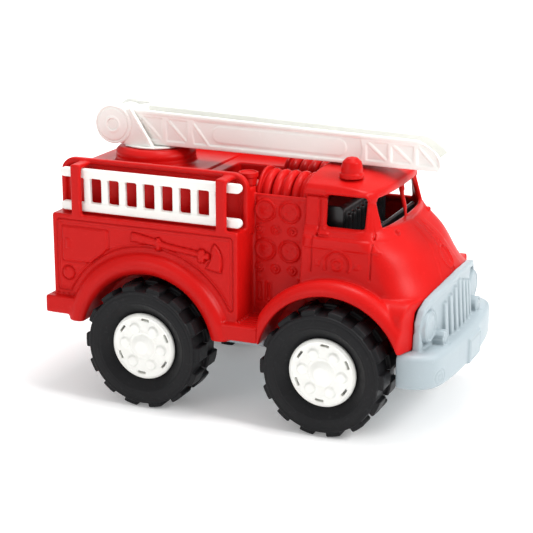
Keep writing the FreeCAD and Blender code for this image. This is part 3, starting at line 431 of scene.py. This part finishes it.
def rear_body():
    body = Moulding("rear_body", 0.5, half="right", passes=4)
    side = body.window(x=(-129, -1), y=(FACE - 1.3, FACE + 3), z=(64, 116))
    # The flare's own surface lies further out, so its surroundings are left out of the relief.
    clear = np.hypot(side.x - FLARE_X, side.z - FLARE_Z) > 59.5
    side.emboss(side_panel(side.x, side.z) * clear)
    pump = body.window(x=(1.5, 36.2), y=(PUMP_FACE - 1.3, PUMP_FACE + 2.2), z=(62, 137))
    pump.emboss(pump_panel(pump.x, pump.z))
    deck = body.window(x=(-50, -38), y=(-3, 47), z=(138, 144))
    deck.emboss(bead(deck.x + 44, -0.8, 0.7))
    turret = body.window(x=(-116, -59), y=(-3, 28), z=(143.5, 148))
    turret.emboss(bead(turret.z - 146.2, -0.4, 0.6) * (np.hypot(turret.x - TURRET_X, turret.y) > 24))
    back = body.window(x=(-132, -128.3), y=(-3, 64), z=(66, 138))
    doors = slab(back.y, back.z, (2.0, 70), (38, 112), 2.0)
    back.emboss(bead(slab(back.y, back.z, (-41.5, 66.6), (41.5, 115.4), 3), -0.45, 0.6)
                + rise(doors, 0.5, 0.8) + rise(slab(back.y, back.z, (5, 88), (7.6, 97), 1), 0.8))
    step = body.window(x=(-135, -131), y=(40, 70), z=(52, 63))
    lamp = disc(step.y, step.z, (58, 57.2), 0)
    step.emboss(bead(lamp - 4.0, -0.7, 0.7))
    tread = body.window(x=(-132, -113), y=(-3, 68), z=(61, 64.5))
    ribs = np.abs((tread.x + 122.5 + 2) % 4 - 2)
    tread.emboss(bead(ribs, -0.5, 0.9) * (slab(tread.x, tread.y, (-130.6, -66), (-114.2, 66)) < 0))
    board = body.window(x=(-13, 14), y=(44, 69), z=(58, 61.5))
    ribs = np.abs((board.y + 2) % 4 - 2)
    board.emboss(bead(ribs, -0.5, 0.9) * (slab(board.x, board.y, (-11.6, 46), (12.6, 68)) < 0))
    return body.mesh("rear_body_moulding", RED, adaptivity=0.1)


# ---------------------------------------------------------------- cab
CAB_NODES = ("cab_shell", "cab_roof")
BADGE_X, BADGE_Z = 60.4, 101.7
EMBLEM_Z = 99.2


def door(x, z):
    """Height of the relief on a door below the belt: its gaps, and a plain round badge."""
    badge = disc(x, z, (BADGE_X, BADGE_Z), 0)
    height = bead(x - 43.9, -0.9, 0.7) + bead(x - 81.4, -0.9, 0.7)
    height = height + bead(badge - 8.6, 0.6, 0.8) + bead(badge - 7.2, -0.6, 0.7)
    height += rise(badge - 3.8, 0.7) - rise(badge - 2.4, 0.6)
    for way in (-1, 1):
        middle = BADGE_X + way * 12.6
        bar = slab(x, z, (middle - 1.6, BADGE_Z - 1.5), (middle + 1.6, BADGE_Z + 1.5), 0.4)
        height += rise(bar, 0.45)
    return height


def cab():
    body = Moulding(" ".join(CAB_NODES), 0.5, half="left", passes=4)
    low = body.window(x=(39, 92), y=(49, 61), z=(62, 117.4))
    half = np.interp(low.z, (82, 92, 102, 110.5, 117), (57.5, 56, 54.5, 54, 52.5))
    skin = low.y > half - 1.6 - 0.06 * np.maximum(low.x - 78, 0) ** 1.5
    arch = np.hypot(low.x - 61.4, low.z - 40.2) > 58
    fade = np.clip((91 - low.x) / 8, 0, 1)
    belt = rise(np.abs(low.z - 113.8) - 3.1, 0.8, 0.9) * fade
    low.emboss((door(low.x, low.z) * arch + belt) * skin)
    upper = body.window(x=(38, 88), y=(40, 54), z=(117.4, 144))
    skin = upper.y > 47.8 - (upper.z - 117) * 0.11 - 0.10 * np.maximum(upper.x - 73, 0) ** 1.5
    front_gap = 78.2 + (145 - upper.z) * 0.115
    gaps = bead(upper.x - 46.3, -0.9, 0.7) + bead(upper.x - front_gap, -0.9, 0.7)
    frame_edge = slab(upper.x, upper.z, (50.0, 122.0), (76.0, 143.0), 1.5)
    handle = slab(upper.x, upper.z, (47.2, 118.7), (53.8, 120.5), 0.9)
    relief = gaps * (upper.z < 140.6) + bead(frame_edge - 0.6, 0.45, 0.9) + rise(handle, 1.4)
    upper.emboss((relief + bead(upper.z - 140.9, -1.1, 0.9)) * skin)
    nose = body.window(x=(96, 124), y=(-3, 12), z=(86, 110))
    oval = np.hypot(nose.y / 7.6, (nose.z - EMBLEM_Z) / 6.8) * 7 - 7
    nose.emboss((bead(oval, 0.7, 0.9) - rise(oval + 1.4, 0.3)) * (nose.x > 98))
    hood = body.window(x=(88, 122), y=(3, 32), z=(88, 121))
    path = np.interp(hood.z, (90, 99, 107, 117, 120), (20.5, 15.5, 12.6, 10.2, 9.6))
    hood.emboss(rise(hood.y - path, 0.55, 1.8) * np.clip((120.5 - hood.z) / 4, 0, 1))
    cowl = body.window(x=(84, 98), y=(24, 38), z=(112, 125))
    nub = np.sqrt((cowl.x - 90.4) ** 2 + (cowl.y - 31.1) ** 2 + (cowl.z - 119.6) ** 2) - 1.7
    cowl.add(nub, 1.0)
    return body.mesh("cab_moulding", RED, adaptivity=0.1)


# ---------------------------------------------------------------- grille and bumper
HEADLAMP = (46.5, 68)
FOG_LAMP = (36, 58.5)
ROUNDEL = (55, 40.5)


def grille():
    body = Moulding("grille_bumper", 0.4, half="left", passes=3)
    lamp = body.window(x=(104, 128), y=(34, 60), z=(56, 80))
    ring = disc(lamp.y, lamp.z, HEADLAMP, 0)
    lamp.emboss((bead(ring - 8.6, 0.6, 0.9) + rise(ring - 6.6, 0.45, 4.0)) * (lamp.x > 110))
    lamp.emboss(bead(ring - 10.6, -0.5, 0.7) * (ring > 10))
    fog = body.window(x=(118, 127), y=(29, 43), z=(51, 66))
    ring = disc(fog.y, fog.z, FOG_LAMP, 0)
    fog.emboss(bead(ring - 3.6, -0.5, 0.7))
    plate = body.window(x=(126, 136), y=(-3, 15), z=(32, 54))
    plate.emboss(bead(slab(plate.y, plate.z, (-10.6, 37.0), (10.6, 49.6), 1.6), -0.5, 0.7))
    low = body.window(x=(110, 132), y=(47, 63), z=(31, 48))
    ring = disc(low.y, low.z, ROUNDEL, 0)
    low.emboss(bead(ring - 4.6, -0.45, 0.8) + bead(ring - 2.2, -0.4, 0.7))
    return body.mesh("grille_moulding", GREY, adaptivity=0.05)


# ---------------------------------------------------------------- boom
BAYS = ((-91.8, -77.2), (-73.6, -59.2), (62.4, 75.8), (78.6, 92.2))


def boom_side(x, z):
    """Height of the relief on the boom's side: sunk bays crossed by diagonals, and a blank panel."""
    low = 154.6 - (x + 99) * (1.0 / 211)
    high = 176.8 - (x + 99) * (5.0 / 194)
    up = (z - low) / (high - low)
    span = (z > low - 5) & (z < high + 5)
    height = rise(-(z - (high - 2.1)), 0.45, 0.8)
    depth = 0.8
    for start, end in BAYS:
        frame_low, frame_high = low + 3.4, high - 4.0
        cu, cz = (start + end) / 2, (frame_low + frame_high) / 2
        hole = np.maximum(np.abs(x - cu) - (end - start) / 2, np.abs(z - cz) - (frame_high - frame_low) / 2)
        height -= rise(hole, depth, 0.7)
        share = (x - start) / (end - start)
        strut = np.abs((frame_high - share * (frame_high - frame_low)) - z) * 0.7 - 0.9
        height += rise(np.maximum(strut, hole), depth * 0.95, 0.7)
    # The last bay follows the rounded tip.
    start = 95.0
    tip = np.maximum(start - x, np.hypot((x - start) / 13.2, (z - (low + 3.2)) / 12.6) * 13 - 13)
    tip = np.maximum(tip, low + 3.2 - z)
    height -= rise(tip, depth, 0.7)
    strut = np.abs((low + 14.6 - (x - start) * 1.02) - z) * 0.7 - 0.9
    height += rise(np.maximum(strut, tip), depth * 0.95, 0.7)
    # A half bay leads into the blank name panel, which is a sunk field with a raised bar.
    field = np.maximum(np.abs(x - 2) - 57.5, np.abs(up - 0.5) * (high - low) - 7.4)
    field = np.maximum(field, (np.abs(x - 2) - 57.5 + 4 * np.abs(up - 0.5)))
    height -= rise(field, depth, 0.7)
    bar = np.hypot(np.maximum(np.abs(x - 4) - 40, 0), (up - 0.5) * (high - low)) - 5.4
    height += rise(bar, 0.55, 0.8)
    start, end = -55.6, -44
    share = (x - start) / (end - start)
    strut = np.maximum(np.abs((high - 4 - share * 14.4) - z) * 0.7 - 0.9, field)
    height += rise(strut, depth * 0.95, 0.7)
    return height * span


def boom():
    body = Moulding("boom_ladder", 0.4, half="right", passes=2)
    side = body.window(x=(-98, 112), y=(9, 14), z=(153, 179))
    face = 12.2 - (side.x + 99) * (1.6 / 211)
    side.emboss(boom_side(side.x, side.z) * (side.y > face - 1.25))
    return body.mesh("boom_moulding", WHITE)


# ---------------------------------------------------------------- turntable
PIVOT_X, PIVOT_Z = -111, 166.6


def turntable():
    body = Moulding("turntable", 0.35, half="right", passes=2)
    ear = body.window(x=(-125, -80), y=(12.4, 18), z=(153.5, 181))
    ring = np.hypot(ear.x - PIVOT_X, ear.z - PIVOT_Z)
    outer = ear.y > 14.6
    relief = bead(ring - 11.0, -0.6, 0.7) + rise(ring - 5.4, 0.4) - rise(ring - 3.9, 0.3)
    ear.emboss(relief * outer * (ring < 12.4))
    rib = line(ear.x, ear.z, (-97.4, 178.0), (-84.6, 155.4)) - 1.5
    ear.emboss(-rise(-rib, 0.8, 0.8) * (ear.y > 14.4) * (ring > 13.4))
    return body.mesh("turntable_moulding", WHITE)


# ---------------------------------------------------------------- wheels
WHEEL_X, WHEEL_Z = 60, 39.8
TYRE_OUT = 79.5             # the tyre's outer wall
LUGS = 14                   # in each row
NUT_TURN = math.radians(25)


def wheel_tyre():
    """The front left tyre: a smooth wall and two staggered rows of chunky lugs."""
    body = Moulding("front_left_tyre", 0.45, passes=2)
    r = np.hypot(body.x - WHEEL_X, body.z - WHEEL_Z)
    turn = np.arctan2(body.z - WHEEL_Z, body.x - WHEEL_X)
    outward = TYRE_OUT - body.y
    body.d[...] = soft_max(body.d, r - 36.7, 1.0)
    pitch = 2 * math.pi / LUGS
    for row, (near, far) in enumerate(((1.4, 14.6), (16.4, 29.6))):
        along = ((turn + row * pitch / 2 + pitch / 2) % pitch - pitch / 2) * 38.5
        lug = np.maximum(np.abs(along) - 4.6, np.abs(outward - (near + far) / 2) - (far - near) / 2)
        lug = soft_max(lug, np.abs(r - 37.0) - 2.8, 1.2)
        body.d[...] = soft_min(body.d, lug, 0.8)
    wall = body.window(y=(77.6, 82))
    r = np.hypot(wall.x - WHEEL_X, wall.z - WHEEL_Z)
    wall.emboss(bead(r - 34.6, -0.35, 0.7) + bead(r - 29.6, -0.35, 0.7))
    return body.mesh("tyre_pattern", TYRE)


def wheel_rim():
    """The front left rim: a dished disc with six thin slots, six round nuts and a domed centre."""
    body = Moulding("front_left_rim", 0.35, passes=2)
    face = body.window(y=(69, 82))
    r = np.hypot(face.x - WHEEL_X, face.z - WHEEL_Z)
    turn = np.arctan2(face.z - WHEEL_Z, face.x - WHEEL_X)
    around = (turn + NUT_TURN) % (math.pi / 3) - math.pi / 6
    nut = np.hypot(r * np.cos(around) - 12.6, r * np.sin(around))
    between = (turn + NUT_TURN + math.pi / 6) % (math.pi / 3) - math.pi / 6
    slot = np.maximum(np.abs(r - 17.6) - 0.75, np.abs(r * between) - 2.7)
    height = rise(nut - 3.3, 1.5, 1.4) + bead(r - 19.6, 0.4, 1.0) + bead(r - 9.2, 0.35, 1.0)
    face.emboss(height * (face.y > 74.6))
    face.carve(slot, 0.3)
    return body.mesh("rim_pattern", WHITE)


def at_wheel(pattern, node, name):
    """A copy of the front left wheel's piece, turned round for the right side."""
    low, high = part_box(node)
    centre = (low + high) / 2
    home_low, home_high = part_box(f"front_left_{node.split('_')[-1]}")
    home = (home_low + home_high) / 2
    turn = Matrix.Rotation(math.pi if "right" in node else 0, 4, "Z")
    piece = pattern.copy()
    piece.data = pattern.data.copy()
    piece.name = piece.data.name = name
    scene.collection.objects.link(piece)
    piece.data.transform(Matrix.Translation(centre) @ turn @ Matrix.Translation(-home))
    stand_for(piece, node)


def wheels():
    for kind, pattern in (("tyre", wheel_tyre()), ("rim", wheel_rim())):
        for node in sorted(SLOTS):
            if node.endswith("_" + kind):
                at_wheel(pattern, node, node + "_moulding")
        bpy.data.objects.remove(pattern)


# ---------------------------------------------------------------- small parts
def small(node, step):
    """A plain moulding that only rounds its CAD node's edges."""
    body = Moulding(node, step, passes=2)
    stand_for(body.mesh(node + "_moulding", MATERIALS[SLOTS[node]]), node)


def build():
    stand_for(rear_body(), "rear_body")
    stand_for(cab(), *CAB_NODES)
    stand_for(grille(), "grille_bumper")
    stand_for(boom(), "boom_ladder")
    stand_for(turntable(), "turntable")
    wheels()
    for side in ("right", "left"):
        for kind in ("hose_reel", "side_ladder"):
            small(f"{side}_{kind}", 0.4)
    for node, step in (("beacon_light", 0.25), ("deck_cap", 0.25), ("cab_seat", 0.5),
                       ("dashboard", 0.5), ("boom_pivot_pin", 0.25), ("chassis", 0.5)):
        small(node, step)


for node, thing in frame["nodes"].items():
    thing.data.materials.clear()
    thing.data.materials.append(MATERIALS[SLOTS[node]])
build()


# ---------------------------------------------------------------- floor, light and camera
def floor():
    mesh = bpy.data.meshes.new("floor")
    size = 4.0                  # metres from the middle to each side
    mesh.from_pydata([(-size, -size, 0), (size, -size, 0), (size, size, 0), (-size, size, 0)], [],
                     [(0, 1, 2, 3)])
    thing = bpy.data.objects.new("floor", mesh)
    scene.collection.objects.link(thing)
    material = bpy.data.materials.new("floor_paper")
    material.use_nodes = True
    nodes, links = material.node_tree.nodes, material.node_tree.links
    shader = nodes["Principled BSDF"]
    shader.inputs["Roughness"].default_value = 0.9
    grain = nodes.new("ShaderNodeTexNoise")
    grain.inputs["Scale"].default_value = 300
    ramp = nodes.new("ShaderNodeValToRGB")
    ramp.color_ramp.elements[0].color = (0.86, 0.86, 0.86, 1)
    ramp.color_ramp.elements[1].color = (0.90, 0.90, 0.90, 1)
    links.new(grain.outputs["Fac"], ramp.inputs["Fac"])
    links.new(ramp.outputs["Color"], shader.inputs["Base Color"])
    # The paper glows more the further it lies from the truck, so that it stays white.
    place = nodes.new("ShaderNodeTexCoord")
    reach = nodes.new("ShaderNodeVectorMath")
    reach.operation = "LENGTH"
    links.new(place.outputs["Object"], reach.inputs[0])
    glow = nodes.new("ShaderNodeMapRange")
    glow.inputs["From Min"].default_value = 0.3
    glow.inputs["From Max"].default_value = 1.4
    glow.inputs["To Min"].default_value = 0.22
    glow.inputs["To Max"].default_value = 0.75
    links.new(reach.outputs["Value"], glow.inputs["Value"])
    links.new(ramp.outputs["Color"], shader.inputs["Emission Color"])
    links.new(glow.outputs["Result"], shader.inputs["Emission Strength"])
    mesh.materials.append(material)


LAMP_AIM = Vector((0, 0, 0.08))


def lamp(name, at, size, power):
    """A round studio light in metres and watts, aimed at the truck."""
    light = bpy.data.lights.new(name, "AREA")
    light.shape = "DISK"
    light.size = size
    light.energy = power
    thing = bpy.data.objects.new(name, light)
    thing.location = at
    thing.rotation_euler = (Vector(at) - LAMP_AIM).to_track_quat("Z", "Y").to_euler()
    scene.collection.objects.link(thing)


def studio():
    world = bpy.data.worlds.new("studio")
    scene.world = world
    world.use_nodes = True
    nodes, links = world.node_tree.nodes, world.node_tree.links
    sky = nodes["Background"]
    sky.inputs["Color"].default_value = (1, 1, 1, 1)
    # Dim at the horizon and bright overhead, like a large soft box over a table.
    place = nodes.new("ShaderNodeTexCoord")
    height = nodes.new("ShaderNodeSeparateXYZ")
    links.new(place.outputs["Generated"], height.inputs["Vector"])
    dome = nodes.new("ShaderNodeMapRange")
    dome.inputs["To Min"].default_value = 0.26
    dome.inputs["To Max"].default_value = 0.85
    links.new(height.outputs["Z"], dome.inputs["Value"])
    links.new(dome.outputs["Result"], sky.inputs["Strength"])
    lamp("key", (1.0, -0.1, 0.8), 0.5, 10)
    lamp("fill", (-0.5, -1.2, 0.5), 0.6, 3)
    lamp("top", (0.1, 0.2, 1.3), 0.5, 9)
    # A low, wide light behind the truck fills its far side.
    lamp("back", (-0.5, 1.1, 0.5), 1.0, 3.5)


def camera():
    data = bpy.data.cameras.new("camera")
    data.sensor_width = 36
    data.lens = 1498.2 / 533 * 36
    data.clip_start = 0.05
    thing = bpy.data.objects.new("camera", data)
    azimuth, elevation, roll = math.radians(23.03), math.radians(16.45), math.radians(0.2)
    back = Vector((math.sin(azimuth) * math.cos(elevation), -math.cos(azimuth) * math.cos(elevation),
                   math.sin(elevation)))
    right = Vector((math.cos(azimuth), math.sin(azimuth), 0))
    up = back.cross(right)
    across = right * math.cos(roll) + up * math.sin(roll)
    high = up * math.cos(roll) - right * math.sin(roll)
    turn = Matrix((across, high, back)).transposed().to_4x4()
    thing.matrix_world = Matrix.Translation(Vector((358.2, -862.3, 354.5)) * MM) @ turn
    scene.collection.objects.link(thing)
    scene.camera = thing


floor()
studio()
camera()
scene.view_settings.view_transform = "Standard"
